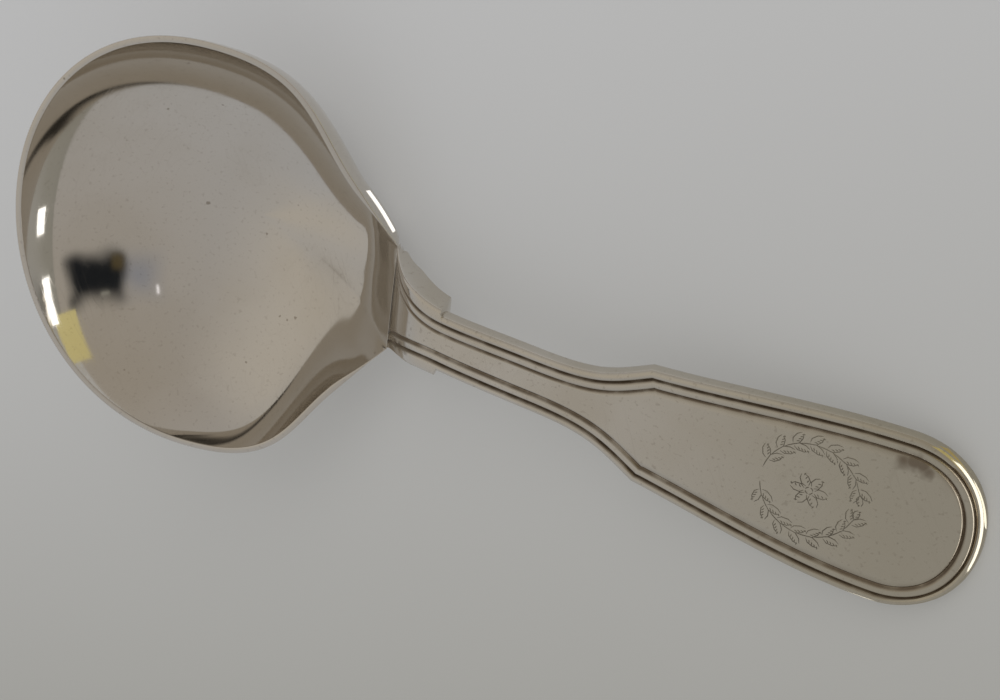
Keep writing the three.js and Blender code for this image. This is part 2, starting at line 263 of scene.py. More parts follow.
creaseAngle = math.atan2(bowl["rootWidth"] / 2, bowl["length"] - bowl["deepestAt"])
cornerAngle = math.atan2(bowl["shoulderWidth"] / 2, bowl["length"] - bowl["shoulderRun"] - bowl["deepestAt"])


# How near an angle is to the root: 0 from the shoulder's corner on, 1 at the crease
def nearRoot(angle):
    return smooth(math.cos(angle), math.cos(cornerAngle), math.cos(creaseAngle))


def edgeRadius(angle):
    return rimRadius(angle) + (bowl["rim"] - bowl["rootRim"]) * nearRoot(angle)


@functools.cache
def softRadius(angle):
    steps = bowl["softSteps"]
    turns = [i / steps for i in range(-steps, steps + 1)]
    weights = [math.cos(t * math.pi / 2 * bowl["softSpan"]) ** 2 for t in turns]
    return sum(w * edgeRadius(angle + t * bowl["cornerSoft"]) for t, w in zip(turns, weights)) / sum(weights)


# 0 on one side of the bowl and 1 on the other, with a narrow turn between them
def otherSide(angle, turn):
    return smooth(math.sin(angle), -turn, turn)


# The inside's own section at the root is a long slope with a short upturn
def raisedHeight(angle, share):
    ahead = max(0, math.cos(angle))
    height = arcHeight(angle, share, bowl["rootArc"])
    height = mix(height, share ** bowl["rootPower"], bowl["rootShare"] * ahead ** bowl["rootFocus"])
    focus = mix(*bowl["upturnFocus"], otherSide(angle, bowl["upturnTurn"]))
    return mix(height, share ** bowl["upturnPower"], bowl["upturn"] * ahead**focus)


# From a share on, the wall at the root is a cubic that arrives at the rim with a slope of its own
def innerHeight(angle, share, step=1e-4):
    height, start = raisedHeight(angle, share), bowl["easedFrom"]
    lower, upper = bowl["easedReach"]
    side = otherSide(angle, bowl["easedTurn"])
    begins, whole = (math.cos(creaseAngle * mix(a, b, side)) for a, b in zip(lower, upper))
    eased = smooth(math.cos(angle), begins, whole)
    if share <= start or eased == 0:
        return height
    low, run, t = raisedHeight(angle, start), 1 - start, (share - start) / (1 - start)
    leaving = (low - raisedHeight(angle, start - step)) / step * run
    arriving = bowl["easedSlope"] * run
    wall = low + leaving * t + (3 - 3 * low - 2 * leaving - arriving) * t**2
    wall += (2 * low - 2 + leaving + arriving) * t**3
    return mix(height, wall, eased)


# A place inside the bowl; its level lines round the root's corners
def innerPoint(angle, share):
    soft, oval = softRadius(angle), ovalRadius(angle)
    radius = oval + (soft - oval) * share ** bowl["ovalPower"]
    radius = share * (radius + (edgeRadius(angle) - soft) * share ** bowl["cornerPower"])
    z = sheetHeight(angle, share, innerHeight(angle, share))
    return Vector((bowl["deepestAt"] + radius * math.cos(angle), radius * math.sin(angle), z))


def backNormal(angle, share, step=1e-3):
    if share < step:
        return Vector((0, 0, -1))
    across = sheetPoint(angle + step, share) - sheetPoint(angle - step, share)
    outward = sheetPoint(angle, share + step) - sheetPoint(angle, share - step)
    return across.cross(outward).normalized()


def backPoint(angle, share):
    filed = min(1, share) ** bowl["filing"]
    direction = backNormal(angle, share)
    direction.z *= 1 - filed
    heel = bowl["heel"] * nearRoot(angle) * smooth(abs(math.sin(angle)), *bowl["heelSides"])
    thick = mix(bowl["wall"] + heel * smooth(share, *bowl["heelFrom"]), bowl["rim"], filed)
    return sheetPoint(angle, share) + direction.normalized() * thick


# Height of the bowl's back over a place of the plan, or of a surface at a distance from it
def backHeight(x, y, off=0):
    angle = math.atan2(y, x - bowl["deepestAt"])
    radius = math.hypot(x - bowl["deepestAt"], y)
    low, high = 0, bowl["searchTo"]
    for _ in range(bowl["searchSteps"]):
        middle = (low + high) / 2
        low, high = (middle, high) if levelRadius(angle, middle) < radius else (low, middle)
    return sheetPoint(angle, low).z + (bowl["wall"] + off) / backNormal(angle, low).z


def bowlPiece():
    angles = rimAngles + [2 * math.pi - a for a in reversed(rimAngles[:-1])]
    rings, backRings, lipSteps = bowl["rings"], bowl["backRings"], bowl["lipSteps"]
    lipShare = 1 - bowl["lipRound"] / bowl["depth"] * bowl["lipStart"]
    inner = [math.sin(i / rings * math.pi / 2) * lipShare for i in range(rings + 1)]
    outer = [math.sin(i / backRings * math.pi / 2) * lipShare for i in range(backRings, -1, -1)]

    def place(column, row):
        angle = angles[column]
        if row <= rings:
            return laidDown(*innerPoint(angle, inner[row]))
        if row >= rings + lipSteps:
            return laidDown(*backPoint(angle, outer[row - rings - lipSteps]))
        start, end = innerPoint(angle, lipShare), backPoint(angle, lipShare)
        turn = (row - rings) / lipSteps * math.pi
        across = 0.5 - 0.5 * math.copysign(abs(math.cos(turn)) ** bowl["lipPower"], math.cos(turn))
        point = start.lerp(end, across)
        point.z = mix(point.z, rimHeight(angle), abs(math.sin(turn)) ** bowl["lipPower"])
        return laidDown(*point)

    piece = shapedGrid("silver_bowl", len(angles) - 1, rings + lipSteps + backRings, place)
    wornFlat(piece)
    smoothShaded(piece, bowl["smoothBelow"])
    onFrame(piece, "bowl")
    return piece


silverBowl = bowlPiece()
print("bowl:", len(silverBowl.data.polygons), "faces")

# Handle: drop, square-shouldered root, stem and fiddle end with a double-reeded border
handle = {
    "length": 59.8,  # root crease to the end
    "rampRise": 5.2,
    "rampRun": 2.65,
    "rise": 10.1,
    "stemSlope": 0.14,
    "endSlope": 0.03,
    "squareAt": 6.9,  # square shoulders of the stem
    "squareStep": 0.65,
    "squareRun": 0.12,
    "stemWidth": 6.1,
    "neckAt": 16.3,
    "neckWidth": 6.3,
    "fiddleAt": 28,
    "fiddleWidth": 12.2,
    "endRun": 8.1,
    "endWidth": 17.7,
    "rootThickness": 4.6,
    "cornerThickness": 1.4,  # at the crease itself, where it meets the bowl
    "cornerSunk": 0.4,  # how far the drop's own corners there sink into the bowl's wall
    "cornerFrom": (0.7, 0.97),  # over which share of the half width
    "cornerRun": 0.7,  # behind the crease, to the root's own thickness
    "squareThickness": 3.2,
    "flank": 0.8,  # share of the thickness at which the root's sides turn under
    "stemFlank": 0.5,  # and those of the stem and the end
    "backCrown": 0.02,  # share of the thickness by which the back is crowned
    "stemThickness": 1.9,
    "endThickness": 1.6,
    "dropLength": 3.4,
    "dropWidth": 7.4,
    "dropNose": 2,
    "dropNoseWidth": 1.4,
    "dropThickness": 1.7,
    "dropNoseThickness": 0.4,
    "dropBlend": 3,
    "flareFullness": (0.7, 0.4),
    "flareLean": 0.15,
    "sweepFullness": (0.57, 0.35),
    "cornerRise": 0.24,
    "roundFullness": (0.58, 0.6),
    "turnRun": 1.1,  # length over which the border turns a corner
    "stretchLimit": 0.7,  # cosine below which it stretches no further there
    "steps": (10, 12, 44, 26, 56, 44, 64),  # nose, drop, flare, stem, sweep, side, end
    "smoothBelow": 40,  # degrees
}

border = {
    "band": 0.93,  # plain band, then groove, reed and groove, counted in from the edge
    "reed": 1.0,
    "grooveDepth": 0.17,
    "grooveHalf": 0.24,
    "crown": 0.13,
    "bandCrown": 0.2,
    "edgeRound": 0.42,
    "wornRound": 0.82,  # at the end, which is worn
    "wornFrom": (51, 57),
    "backRound": 1.05,
    "stainHalf": 0.4,  # half width of the tarnish in a groove
    "rows": 34,  # across the border
    "panelRows": 8,
    "edgeRows": 8,
    "backRows": 8,
    "underRows": 6,
}


# The face springs up behind the crease and then rises slowly to the end
def faceHeight(s):
    run, whole = max(0, s), handle["length"]
    t = run / whole
    slow = handle["rise"] * (3 * t**2 - 2 * t**3)
    slow += whole * (handle["stemSlope"] * (t**3 - 2 * t**2 + t) + handle["endSlope"] * (t**3 - t**2))
    return rimHeight(0) + handle["rampRise"] * (1 - math.exp(-run / handle["rampRun"])) + slow


def turnsUnder(s):
    if s > handle["squareAt"]:
        return handle["stemFlank"]
    return mix(handle["stemFlank"], handle["flank"], smooth(s, 0, handle["cornerRun"]))


def thicknessAt(s):
    square = handle["squareAt"]
    if s <= square:
        thick = mix(handle["rootThickness"], handle["squareThickness"], max(0, s) / square)
        return mix(handle["cornerThickness"], thick, smooth(s, 0, handle["cornerRun"]))
    return mix(handle["stemThickness"], handle["endThickness"], (s - square) / (handle["length"] - square))


# Half of the handle's plan as places on its edge, x counted from the crease at the root
def handleStations():
    noseSteps, dropSteps, flareSteps, stemSteps, sweepSteps, sideSteps, endSteps = handle["steps"]
    rootHalf, stemHalf, dropHalf = bowl["rootWidth"] / 2, handle["stemWidth"] / 2, handle["dropWidth"] / 2
    noseHalf, noseEnd = handle["dropNoseWidth"] / 2, handle["dropNose"] - handle["dropLength"]
    square, lean = handle["squareAt"], handle["flareLean"]
    start, end = handle["flareFullness"]
    roundStart, roundEnd = handle["roundFullness"]
    sweepStart, sweepEnd = handle["sweepFullness"]

    front = -handle["dropLength"]
    noseMiddle = mix(noseHalf, dropHalf, roundStart)
    noseSide = (noseEnd - roundEnd * handle["dropNose"], dropHalf)
    nose = curve([(front, noseHalf), (front, noseMiddle), noseSide, (noseEnd, dropHalf)], noseSteps)
    dropSide = (noseEnd * lean, mix(rootHalf, dropHalf, start))
    drop = curve([(noseEnd, dropHalf), (noseEnd * (1 - end), dropHalf), dropSide, (0, rootHalf)], dropSteps)
    flareIn = (square * lean, mix(rootHalf, stemHalf, start))
    flare = curve([(0, rootHalf), flareIn, (square * (1 - end), stemHalf), (square, stemHalf)], flareSteps)

    stemAt = square + handle["squareRun"]
    neck = Vector((handle["neckAt"], handle["neckWidth"] / 2))
    stemIn = (mix(stemAt, neck.x, 1 / 3), stemHalf)
    stem = curve([(stemAt, stemHalf), stemIn, (mix(stemAt, neck.x, 2 / 3), neck.y), neck], stemSteps)

    corner = Vector((handle["fiddleAt"], handle["fiddleWidth"] / 2))
    widest = Vector((handle["length"] - handle["endRun"], handle["endWidth"] / 2))
    tip = Vector((handle["length"], 0))
    sweepIn = (mix(neck.x, corner.x, sweepStart), neck.y)
    sweepOut = (mix(corner.x, neck.x, sweepEnd), mix(neck.y, corner.y, handle["cornerRise"]))
    sweep = curve([neck, sweepIn, sweepOut, corner], sweepSteps)
    sideOut = (mix(corner.x, widest.x, 2 / 3), widest.y)
    side = curve([corner, corner.lerp(widest, 1 / 3), sideOut, widest], sideSteps)
    endIn = (widest.x + roundStart * handle["endRun"], widest.y)
    tipEnd = curve([widest, endIn, (handle["length"], roundEnd * widest.y), tip], endSteps)
    return nose + drop[1:] + flare[1:] + stem, sweep[1:] + side[1:] + tipEnd[1:]


# Directions in from the edge, turned gently past the corners, with how far the border stretches there
def inwardDirections(places):
    normals = []
    for i in range(len(places)):
        along = (places[min(i + 1, len(places) - 1)] - places[max(i - 1, 0)]).normalized()
        normals.append(Vector((along.y, -along.x)))
    normals[-1] = Vector((-1, 0))
    gentle = []
    for place, own in zip(places, normals):
        near = Vector((0, 0))
        for other, normal in zip(places, normals):
            away = (other - place).length / handle["turnRun"]
            if away < 1:
                near += normal * (1 - away)
        near.normalize()
        gentle.append((near, 1 / max(handle["stretchLimit"], near.dot(own))))
    gentle[-1] = (Vector((-1, 0)), 1)
    return gentle


def faceLift(inset):
    lift = 0
    reedStart, reedEnd, half = border["band"], border["band"] + border["reed"], border["grooveHalf"]
    for groove in (reedStart, reedEnd):
        away = abs(inset - groove) / half
        if away < 1:
            lift -= border["grooveDepth"] * (0.5 + 0.5 * math.cos(math.pi * away))
    reedHalf = border["reed"] / 2
    fromReed = abs(inset - reedStart - reedHalf) / reedHalf
    if fromReed < 1:
        lift += border["crown"] * math.sqrt(1 - fromReed**2)
    if inset < reedStart:
        lift += border["bandCrown"] * math.sqrt(1 - (2 * inset / reedStart - 1) ** 2)
    return lift


# Rows across half of the handle, from the middle of its face round to the middle of its back
def handleRows():
    panelEdge = border["band"] + border["reed"] + border["grooveHalf"]
    rows = [("panel", i / border["panelRows"]) for i in range(border["panelRows"])]
    rows += [("face", mix(panelEdge, border["edgeRound"], i / border["rows"])) for i in range(border["rows"])]
    rows += [("edge", i / border["edgeRows"] * math.pi / 2) for i in range(border["edgeRows"] + 1)]
    rows += [("back", i / border["backRows"] * math.pi / 2) for i in range(border["backRows"] + 1)]
    return rows + [("under", (i + 1) / border["underRows"]) for i in range(border["underRows"])]


def handlePoint(station, row):
    place, inward, stretch, ledge = station
    kind, value = row
    s = place.x
    crest, wall = rimHeight(0), bowl["wall"]
    underBowl = s < 0
    backFlat = 1 - handle["backCrown"]
    edge = mix(border["edgeRound"], border["wornRound"], smooth(s, *border["wornFrom"]))

    def plan(inset, step=0):
        return place + inward * inset * stretch + Vector((0, step))

    def faceZ(p, lift):
        if underBowl:
            return min(backHeight(bowl["length"] + p.x, p.y) + wall / 2, crest - wall / 2)
        return faceHeight(p.x) + lift

    def backZ(p, share):
        stemZ = faceHeight(p.x) - share * thicknessAt(s)
        blend = smooth(s, -handle["dropBlend"] / 2, handle["dropBlend"])
        if blend == 1:
            return stemZ
        deep = mix(handle["dropNoseThickness"], handle["dropThickness"], smooth(s, -handle["dropLength"], 0))
        corner = smooth(p.y / bowl["rootWidth"] * 2, *handle["cornerFrom"])
        deep = mix(deep, -handle["cornerSunk"], corner)
        return mix(backHeight(bowl["length"] + p.x, p.y) - share * deep, stemZ, blend)

    if kind == "panel":
        p = plan(border["band"] + border["reed"] + border["grooveHalf"])
        p = Vector((p.x, p.y * value))
        z = faceZ(p, 0)
    elif kind == "face":
        outside = max(0, border["band"] - value) / (border["band"] - border["edgeRound"])
        value -= outside * (border["edgeRound"] - edge)
        p = plan(value, ledge * (1 - smooth(value, border["edgeRound"], border["band"] / 2)))
        z = faceZ(p, faceLift(value))
    elif kind == "edge":
        p = plan(edge * (1 - math.sin(value)), ledge)
        z = faceZ(p, faceLift(edge * (1 - math.sin(value))) - edge * (1 - math.cos(value)))
    elif kind == "back":
        p = plan(border["backRound"] * (1 - math.cos(value)), ledge)
        z = backZ(p, mix(turnsUnder(s), backFlat, math.sin(value)))
    else:
        p = plan(border["backRound"], ledge)
        p = Vector((p.x, p.y * (1 - value)))
        z = backZ(p, backFlat + handle["backCrown"] * value)
    return Vector((bowl["length"] + p.x, max(0, p.y), z))


def handlePiece():
    straight, fiddle = handleStations()
    rootHalf = bowl["rootWidth"] / 2
    grows = handle["squareAt"] * (1 - handle["flareFullness"][1])
    stations = []
    for place in straight:
        ledge = handle["squareStep"] * smooth(place.x, 0, grows) if place.x <= handle["squareAt"] else 0
        stations.append((place, Vector((0, -1)), min(1, place.y / rootHalf) if place.x < 0 else 1, ledge))
    directions = inwardDirections([straight[-1], *fiddle])[1:]
    stations += [(place, inward, stretch, 0) for place, (inward, stretch) in zip(fiddle, directions)]
    half = handleRows()
    loop = [(row, 1) for row in half] + [(row, -1) for row in reversed(half[:-1])]

    def place(column, row):
        part, side = loop[column]
        station = stations[max(0, row - 1)]
        point = handlePoint(station, part)
        if row == 0:  # the blunt nose of the drop is closed
            point = handlePoint(station, ("under", 1))
        return laidDown(point.x, point.y * side, point.z)

    # Tarnish stays in the two grooves
    def patina(column, row):
        kind, inset = loop[column][0]
        if kind != "face" or row < 1 or stations[row - 1][0].x < 0:
            return 0
        outer, inner = abs(inset - border["band"]), abs(inset - border["band"] - border["reed"])
        return max(0, 1 - min(outer, inner) / border["stainHalf"])

    piece = shapedGrid("silver_handle", len(loop) - 1, len(stations), place, patina)
    wornFlat(piece)
    smoothShaded(piece, handle["smoothBelow"])
    onFrame(piece, "handle")
    return piece


silverHandle = handlePiece()
print("handle:", len(silverHandle.data.polygons), "faces")

# Solder: a hollow fillet along the drop's outline on the bowl's back
solder = {
    "width": 0.8,
    "height": 0.5,
    "bedded": 0.12,  # how far its hidden corner lies in the bowl and the drop
    "steps": 6,
    "smoothBelow": 50,  # degrees
}


def solderPiece():
    straight, _ = handleStations()
    side = [p for p in straight if p.x < -solder["width"]]
    path = [Vector((p.x, -p.y)) for p in reversed(side)] + side

    def place(column, row):
        p = path[row]
        along = (path[min(row + 1, len(path) - 1)] - path[max(row - 1, 0)]).normalized()
        outward = Vector((-along.y, along.x))
        turn = column / solder["steps"] * math.pi / 2
        out, height = solder["width"] * (1 - math.sin(turn)), solder["height"] * (1 - math.cos(turn))
        if column == solder["steps"] + 1:  # the hidden corner, bedded in both
            out, height = -solder["bedded"], -solder["bedded"]
        if column == solder["steps"] + 2:
            out, height = solder["width"], 0
        q = p + outward * out
        x = bowl["length"] + q.x
        return laidDown(x, q.y, backHeight(x, q.y, height))

    piece = shapedGrid("solder_fillet", solder["steps"] + 2, len(path) - 1, place)
    closedEnds(piece)
    smoothShaded(piece, solder["smoothBelow"])
    onFrame(piece, "solder_seam")
    return piece


solderFillet = solderPiece()
print("solder:", len(solderFillet.data.polygons), "faces")

# Engraving: a plain wreath about a small flower, cut across the panel
engraving = {
    "middle": (44.2, 0.1),  # along the handle from the crease, and across
    "wreathAlong": 4.5,
    "wreathAcross": 4.7,
    "branch": (math.radians(172), math.radians(16)),  # where each of the two starts and ends
    "branchSteps": 24,
    "cutSteps": 3,  # of a long line in one cut
    "leaves": 8,  # pairs on each branch
    "firstLeaf": 0.6,  # in spaces between pairs
    "leafSpread": math.radians(34),
    "leaf": (1.75, 0.42, 4),  # length, width, hatches
    "lastLeaf": (0.7, 0.8, 3),  # shares of that length and width, hatches
    "leafEdge": ((0.3, 0.85), (0.65, 0.8)),  # along and across, as shares of the length and width
    "hatch": ((0, -0.1), (0.08, -0.3), (0.12, -0.5), (0.16, -0.7)),
    "hatchFrom": 0.25,
    "hatchRun": 0.5,
    "petals": 6,
    "petal": (1.55, 0.5, 3),
    "eye": 0.35,  # radius
    "eyeSteps": 12,
    "line": 0.075,  # half width of a cut
    "lineEnd": 0.55,  # share of it at a cut's ends
    "sunk": 0.045,
    "apart": 0.01,  # from the stem to a leaf's foot, so that no two cuts start as one
}


def turned(place, angle):
    along, across = place
    sine, cosine = math.sin(angle), math.cos(angle)
    return Vector((along * cosine - across * sine, along * sine + across * cosine))


# A leaf's two edges and its hatching, from its foot in a direction
def leaf(foot, direction, length, width, hatches):
    def place(along, across):
        return foot + turned((along * length, across * width), direction)

    strokes = []
    for side in (1, -1):
        edge = [place(along, side * across) for along, across in engraving["leafEdge"]]
        strokes.append([place(0, 0), *edge, place(1, 0)])
    for i in range(hatches):
        start = engraving["hatchFrom"] + engraving["hatchRun"] * i / max(1, hatches - 1)
        strokes.append([place(start + along, across) for along, across in engraving["hatch"]])
    return strokes


# A long line is several cuts, each starting where the last one ends
def severalCuts(line):
    steps = engraving["cutSteps"]
    return [line[i : i + steps + 1] for i in range(0, len(line) - 1, steps)]


def engravedStrokes():
    strokes = []
    along, across = engraving["wreathAlong"], engraving["wreathAcross"]
    start, end = engraving["branch"]
    leaves, branchSteps, eyeSteps = engraving["leaves"], engraving["branchSteps"], engraving["eyeSteps"]
    length, width, hatches = engraving["leaf"]
    lengthShare, widthShare, lastHatches = engraving["lastLeaf"]

    def ring(angle):
        return Vector((along * math.cos(angle), across * math.sin(angle)))

    for side in (1, -1):
        stem = [ring(side * mix(start, end, i / branchSteps)) for i in range(branchSteps + 1)]
        strokes += severalCuts(stem)
        for i in range(leaves):
            angle = side * mix(start, end, (i + engraving["firstLeaf"]) / leaves)
            heading = angle - side * math.pi / 2
            for turn in (1, -1):
                direction = heading + turn * engraving["leafSpread"]
                foot = ring(angle) + turned((engraving["apart"], 0), direction)
                strokes += leaf(foot, direction, length, width, hatches)
        ahead = side * (end - math.pi / 2)
        strokes += leaf(stem[-1], ahead, length * lengthShare, width * widthShare, lastHatches)
    for i in range(engraving["petals"]):
        turn = i / engraving["petals"] * 2 * math.pi
        strokes += leaf(turned((engraving["eye"], 0), turn), turn, *engraving["petal"])
    eye = [turned((engraving["eye"], 0), i / eyeSteps * 2 * math.pi) for i in range(eyeSteps + 1)]
    return strokes + severalCuts(eye)


def engravedPiece():
    lines = bpy.data.curves.new("engraved_wreath", "CURVE")
    lines.dimensions = "3D"
    lines.bevel_depth = engraving["line"] * millimetre
    lines.bevel_resolution = 1
    lines.use_fill_caps = True
    for stroke in engravedStrokes():
        spline = lines.splines.new("POLY")
        spline.points.add(len(stroke) - 1)
        for i, (point, place) in enumerate(zip(spline.points, stroke)):
            s, y = engraving["middle"][0] + place.x, engraving["middle"][1] + place.y
            at = laidDown(bowl["length"] + s, y, faceHeight(s) - engraving["sunk"])
            point.co = (*at, 1)
            point.radius = 1 if 0 < i < len(stroke) - 1 else engraving["lineEnd"]
    piece = bpy.data.objects.new("engraved_wreath", lines)
    bpy.context.collection.objects.link(piece)
    selectOnly(piece)
    bpy.ops.object.convert(target="MESH")
    piece = bpy.context.object
    welded(piece, fineWeld)  # the caps come loose from their cuts
    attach(piece, "root")
    return piece


engravedWreath = engravedPiece()
print("engraving:", len(engravedWreath.data.polygons), "faces")


# A node with its settings and inputs; an input is a value or another node's output
def node(tree, kind, inputs=(), **settings):
    made = tree.nodes.new("ShaderNode" + kind)
    for name, value in settings.items():
        setattr(made, name, value)
    for name, value in dict(inputs).items():
        if isinstance(value, bpy.types.NodeSocket):
            tree.links.new(value, made.inputs[name])
        else:
            made.inputs[name].default_value = value
    return made


def calculate(tree, operation, a, b=0.0):
    return node(tree, "Math", {0: a, 1: b}, operation=operation).outputs[0]


def ranged(tree, value, low, high, start=0.0, end=1.0, smoothly=True):
    inputs = {"Value": value, "From Min": low, "From Max": high, "To Min": start, "To Max": end}
    made = node(tree, "MapRange", inputs, interpolation_type="SMOOTHSTEP" if smoothly else "LINEAR")
    return made.outputs["Result"]


def blended(tree, share, a, b):
    return node(tree, "Mix", {"Factor": share, 6: a, 7: b}, data_type="RGBA").outputs[2]


def lengthAlong(tree, vector, axis):
    return node(tree, "VectorMath", {0: vector, 1: axis}, operation="DOT_PRODUCT").outputs["Value"]


def newMaterial(name):
    material = bpy.data.materials.new(name)
    material.use_nodes = True
    return material, material.node_tree, material.node_tree.nodes["Principled BSDF"]


# Marks that every silver piece has: hairline scratches, pits and a cloudy bloom
marks = {
    "hairline": 0.03,  # share of the noise that a scratch takes
    "hairlineTurns": (0.5, 2.1),  # of its two layers, in radians
    "hairlineScale": (1, 0.12, 1),
    "hairlinePatches": (0.5, 0.65),  # range of the noise in which they appear
    "hairlineShade": 0.08,  # how dark one is beside a pit
    "pitSize": 0.045,
    "pitCore": 0.4,  # share of it that is darkest
    "pitShare": 0.3,
    "pitDepth": 3.0,  # in depths of a scratch
    "speck": 0.28,
    "speckFrom": (0.6, 0.78),
    "cloudFrom": (0.35, 0.75),
    "spotScale": 0.8,  # by the spot's radius
    "spotFrom": (0.3, 0.7),
    "spotRagged": (0.6, 1.4),  # factors on the distance from its middle
    "grooveFrom": (0.1, 0.8),  # range of the patina
    "groovePatches": (0.2, 0.6),
    "grooveLeast": 0.45,
    "groovePatchScale": 6,  # in scales of the clouds
}
markScales = ("Scratch Scale", "Pit Scale", "Grain Scale", "Cloud Scale")


def silverMarks():
    group = bpy.data.node_groups.new("silver_marks", "ShaderNodeTree")
    group.interface.new_socket("Vector", in_out="INPUT", socket_type="NodeSocketVector")
    for name in markScales:
        group.interface.new_socket(name, in_out="INPUT", socket_type="NodeSocketFloat")
    for name in ("Scratches", "Pits", "Clouds"):
        group.interface.new_socket(name, in_out="OUTPUT", socket_type="NodeSocketFloat")
    given = group.nodes.new("NodeGroupInput").outputs
    result = group.nodes.new("NodeGroupOutput").inputs
    lines = []
    for turn in marks["hairlineTurns"]:
        along = node(group, "Mapping", {"Vector": given["Vector"], "Rotation": (turn, turn, turn)}).outputs[0]
        stretched = node(group, "Mapping", {"Vector": along, "Scale": marks["hairlineScale"]}).outputs[0]
        noise = node(group, "TexNoise", {"Vector": stretched, "Scale": given["Scratch Scale"], "Detail": 0.5})
        away = calculate(group, "ABSOLUTE", calculate(group, "SUBTRACT", noise.outputs[0], 0.5))
        line = ranged(group, away, 0.0, marks["hairline"], 1.0, 0.0)
        patch = node(group, "TexNoise", {"Vector": along, "Scale": given["Cloud Scale"], "Detail": 2.0})
        shown = ranged(group, patch.outputs[0], *marks["hairlinePatches"])
        lines.append(calculate(group, "MULTIPLY", line, shown))
    group.links.new(calculate(group, "MAXIMUM", *lines), result["Scratches"])
    size = marks["pitSize"]
    cells = node(group, "TexVoronoi", {"Vector": given["Vector"], "Scale": given["Pit Scale"]})
    dot = ranged(group, cells.outputs["Distance"], size * marks["pitCore"], size, 1.0, 0.0)
    chosen = node(group, "SeparateColor", {0: cells.outputs["Color"]}).outputs[0]
    some = calculate(group, "LESS_THAN", chosen, marks["pitShare"])
    grain = node(group, "TexNoise", {"Vector": given["Vector"], "Scale": given["Grain Scale"], "Detail": 1.0})
    specks = ranged(group, grain.outputs[0], *marks["speckFrom"], 0.0, marks["speck"])
    pits = calculate(group, "MAXIMUM", calculate(group, "MULTIPLY", dot, some), specks)
    group.links.new(pits, result["Pits"])
    cloud = node(group, "TexNoise", {"Vector": given["Vector"], "Scale": given["Cloud Scale"], "Detail": 5.0})
    group.links.new(ranged(group, cloud.outputs[0], *marks["cloudFrom"]), result["Clouds"])
    return group


silverGroup = silverMarks()


# A soft dark spot about a place of the piece, with a ragged edge
def spot(tree, place, radius, edge):
    coordinates = node(tree, "TexCoord").outputs["Object"]
    scale = marks["spotScale"] / radius
    noise = node(tree, "TexNoise", {"Vector": coordinates, "Scale": scale, "Detail": 2.0}).outputs[0]
    ragged = ranged(tree, noise, *marks["spotFrom"], *marks["spotRagged"], smoothly=False)
    apart = node(tree, "VectorMath", {0: coordinates, 1: place}, operation="DISTANCE").outputs["Value"]
    apart = calculate(tree, "MULTIPLY", apart, ragged)
    return ranged(tree, apart, radius * edge, radius, 1.0, 0.0)


def silverMaterial(name, look):
    material, tree, shader = newMaterial(name)
    coordinates = node(tree, "TexCoord").outputs["Object"]
    wear = tree.nodes.new("ShaderNodeGroup")
    wear.node_tree = silverGroup
    tree.links.new(coordinates, wear.inputs["Vector"])
    for scale in markScales:
        wear.inputs[scale].default_value = look[scale]
    scratches, pits, clouds = (wear.outputs[n] for n in ("Scratches", "Pits", "Clouds"))
    for place, radius, edge in look["darkSpots"]:
        dark = spot(tree, [c * millimetre for c in place], radius * millimetre, edge)
        pits = calculate(tree, "MAXIMUM", pits, dark)
    grooves = node(tree, "Attribute", attribute_name="patina").outputs["Fac"]
    patchScale = look["Cloud Scale"] * marks["groovePatchScale"]
    patchy = node(tree, "TexNoise", {"Vector": coordinates, "Scale": patchScale, "Detail": 3.0}).outputs[0]
    patchy = ranged(tree, patchy, *marks["groovePatches"], marks["grooveLeast"])
    grooves = calculate(tree, "MULTIPLY", ranged(tree, grooves, *marks["grooveFrom"]), patchy)
    bloom = calculate(tree, "MULTIPLY", clouds, look["bloom"])
    colour = blended(tree, bloom, (*look["colour"], 1), (*look["bloomColour"], 1))
    # The handle turns yellower and darker towards its end
    ahead = node(tree, "SeparateXYZ", {0: coordinates}).outputs[0]
    towardsEnd = ranged(tree, ahead, *look["endFrom"], 0.0, look["towardsEnd"])
    colour = blended(tree, towardsEnd, colour, (*look["endColour"], 1))
    shaded = calculate(tree, "MULTIPLY", scratches, marks["hairlineShade"])
    marked = calculate(tree, "MULTIPLY", calculate(tree, "MAXIMUM", pits, shaded), look["marked"])
    colour = blended(tree, calculate(tree, "MAXIMUM", marked, grooves), colour, (*look["tarnish"], 1))
    tree.links.new(colour, shader.inputs["Base Color"])
    shader.inputs["Metallic"].default_value = 1
    rough = calculate(tree, "MULTIPLY_ADD", scratches, look["scratchRough"])
    rough.node.inputs[2].default_value = look["roughness"]
    rough = calculate(tree, "ADD", rough, calculate(tree, "MULTIPLY", clouds, look["cloudRough"]))
    rough = calculate(tree, "ADD", rough, calculate(tree, "MULTIPLY", grooves, look["grooveRough"]))
    tree.links.new(rough, shader.inputs["Roughness"])
    depth = calculate(tree, "ADD", scratches, calculate(tree, "MULTIPLY", pits, marks["pitDepth"]))
    relief = {"Height": depth, "Strength": 1.0, "Distance": look["scratchDepth"]}
    bump = node(tree, "Bump", relief, invert=True)
    tree.links.new(bump.outputs[0], shader.inputs["Normal"])
    return material


silver = {
    "colour": (0.68, 0.64, 0.58),
    "bloomColour": (0.6, 0.55, 0.47),
    "tarnish": (0.23, 0.185, 0.135),
    "endColour": (0.48, 0.43, 0.32),  # yellower and darker towards the handle's end
    "endFrom": (0.025, 0.07),
    "towardsEnd": 0.0,
    "marked": 0.6,
    "bloom": 0.5,
    "roughness": 0.05,
    "scratchRough": 0.06,
    "cloudRough": 0.05,
    "grooveRough": 0.3,
    "scratchDepth": 4e-7,
    "Scratch Scale": 900,
    "Pit Scale": 260,
    "Grain Scale": 2600,
    "Cloud Scale": 90,
    "darkSpots": (),
}

